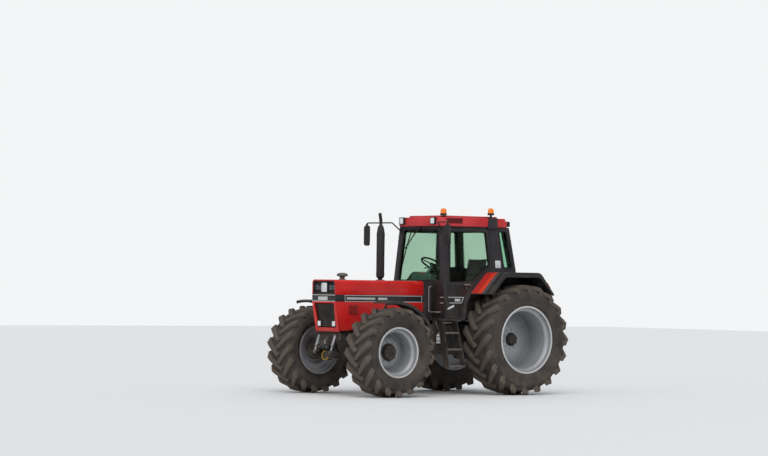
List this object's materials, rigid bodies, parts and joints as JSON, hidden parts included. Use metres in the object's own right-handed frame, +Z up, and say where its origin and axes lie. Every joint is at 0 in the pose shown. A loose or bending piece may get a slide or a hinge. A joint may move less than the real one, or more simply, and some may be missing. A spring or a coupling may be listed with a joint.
{
  "type": "farm tractor",
  "caption": "Large row-crop farm tractor with closed cab, driven steered front wheels, front and rear lifting linkage, and entry ladders on both sides.",
  "frame": {"origin": "on the ground below the middle of the bounding box", "axes": "+X forward, +Y to the tractor's left, +Z up"},
  "size_m": [4.4949, 2.672, 3.0853],
  "materials": {
    "cast_grey": "dusty dark grey casting",
    "black_steel": "satin black",
    "red_paint": "gloss red",
    "roof_red": "sun-faded red",
    "black_plastic": "matt black",
    "clear_plastic": "cloudy clear",
    "silver_steel": "bright plated",
    "cab_grey": "dark grey",
    "screen_glass": "greenish clear",
    "door_pane": "clear",
    "seat_fabric": "dark woven",
    "amber_plastic": "clear amber",
    "lamp_plastic": "clear lens in black housing",
    "tyre_rubber": "dusty black",
    "rim_silver": "silver grey"
  },
  "bodies": {
    "chassis": {"engine_block": "cast_grey", "transmission": "cast_grey", "rear_axle": "cast_grey", "front_support": "cast_grey", "front_axle": "cast_grey", "drive_shaft": "black_steel", "hood_top": "red_paint", "hood_band": "red_paint", "side_panels": "red_paint", "front_frame": "red_paint", "front_grilles": "black_plastic", "exhaust": "black_steel", "air_intake": "clear_plastic", "front_linkage": "black_steel", "front_lift_barrels": "silver_steel", "cab_frame": "cab_grey", "cab_floor": "cab_grey", "roof": "roof_red", "cab_glass": "screen_glass", "seat_base": "black_steel", "seat_cushions": "seat_fabric", "dashboard": "black_plastic", "steering_wheel": "black_plastic", "rear_fender_left": "black_plastic", "rear_fender_right": "black_plastic", "ladders": "black_steel", "fuel_tank": "black_plastic", "battery_box": "black_plastic", "handrails": "black_steel", "mirrors": "black_plastic", "beacons": "amber_plastic", "work_lamps": "lamp_plastic", "drawbar": "black_steel", "top_link": "black_steel"},
    "knuckle_left": {"knuckle_left": "cast_grey", "front_fender_left": "black_plastic"},
    "knuckle_right": {"knuckle_right": "cast_grey", "front_fender_right": "black_plastic"},
    "wheel_front_left": {"front_tyre_left": "tyre_rubber", "front_rim_left": "rim_silver"},
    "wheel_front_right": {"front_tyre_right": "tyre_rubber", "front_rim_right": "rim_silver"},
    "wheel_rear_left": {"rear_tyre_left": "tyre_rubber", "rear_rim_left": "rim_silver"},
    "wheel_rear_right": {"rear_tyre_right": "tyre_rubber", "rear_rim_right": "rim_silver"},
    "track_rod": {"track_rod": "silver_steel"},
    "door_left": {"door_left": "cab_grey", "door_left_glass": "door_pane"},
    "door_right": {"door_right": "cab_grey", "door_right_glass": "door_pane"},
    "front_arms": {"front_lift_arms": "black_steel"},
    "front_rods": {"front_lift_rods": "silver_steel"},
    "lower_links": {"lower_links": "black_steel"},
    "lift_arms": {"lift_arms": "black_steel"},
    "lift_rods": {"lift_rods": "black_steel"}
  },
  "joints": [
    {"name": "rear_wheel_left", "type": "hinge", "parent": "chassis", "child": "wheel_rear_left", "pos_m": [-1.206, 0.931, 0.912], "axis": [0, 1, 0], "continuous": true},
    {"name": "rear_wheel_right", "type": "hinge", "parent": "chassis", "child": "wheel_rear_right", "pos_m": [-1.206, -0.931, 0.912], "axis": [0, 1, 0], "continuous": true},
    {"name": "front_wheel_left", "type": "hinge", "parent": "knuckle_left", "child": "wheel_front_left", "pos_m": [1.536, 1.04, 0.715], "axis": [0, 1, 0], "continuous": true},
    {"name": "front_wheel_right", "type": "hinge", "parent": "knuckle_right", "child": "wheel_front_right", "pos_m": [1.536, -1.04, 0.715], "axis": [0, 1, 0], "continuous": true},
    {"name": "steering_left", "type": "hinge", "parent": "chassis", "child": "knuckle_left", "pos_m": [1.536, 0.75, 0.715], "axis": [0, 0, 1], "range_deg": [-40, 40]},
    {"name": "steering_right", "type": "hinge", "parent": "chassis", "child": "knuckle_right", "pos_m": [1.536, -0.75, 0.715], "axis": [0, 0, 1], "range_deg": [-40.5, 40.5]},
    {"name": "track_rod_slide", "type": "slide", "parent": "chassis", "child": "track_rod", "axis": [0, 1, 0], "range_m": [-0.153, 0.153]},
    {"name": "door_left_hinge", "type": "hinge", "parent": "chassis", "child": "door_left", "pos_m": [0.08275, 0.6718, 1.87158], "axis": [0.0559, 0.1011, -0.9933], "range_deg": [0, 80]},
    {"name": "door_right_hinge", "type": "hinge", "parent": "chassis", "child": "door_right", "pos_m": [0.08275, -0.6718, 1.87158], "axis": [-0.0559, 0.1011, 0.9933], "range_deg": [0, 80]},
    {"name": "front_lift", "type": "hinge", "parent": "chassis", "child": "front_arms", "pos_m": [1.824, 0, 0.61], "axis": [0, -1, 0], "range_deg": [-6, 14]},
    {"name": "front_rod_stroke", "type": "slide", "parent": "chassis", "child": "front_rods", "axis": [0.3473, 0, -0.9377], "range_m": [-0.07068, 0.03029]},
    {"name": "rear_lift", "type": "hinge", "parent": "chassis", "child": "lower_links", "pos_m": [-1.356, 0, 0.52], "axis": [0, 1, 0], "range_deg": [-16, 26]},
    {"name": "lift_arm_turn", "type": "hinge", "parent": "chassis", "child": "lift_arms", "pos_m": [-1.496, 0, 1.17], "axis": [0, 1, 0], "range_deg": [-16.5, 26.5]},
    {"name": "lift_rod_swing", "type": "hinge", "parent": "lift_arms", "child": "lift_rods", "pos_m": [-1.916, 0, 1.17], "axis": [0, 1, 0], "range_deg": [-26.5, 16.5]}
  ],
  "couplings": [
    {"joint": "steering_right", "follows": "steering_left", "ratio": 1},
    {"joint": "track_rod_slide", "follows": "steering_left", "m_per_rad": -0.215},
    {"joint": "front_rod_stroke", "follows": "front_lift", "m_per_rad": -0.28083},
    {"joint": "lift_arm_turn", "follows": "rear_lift", "ratio": 1},
    {"joint": "lift_rod_swing", "follows": "rear_lift", "ratio": -1}
  ]
}
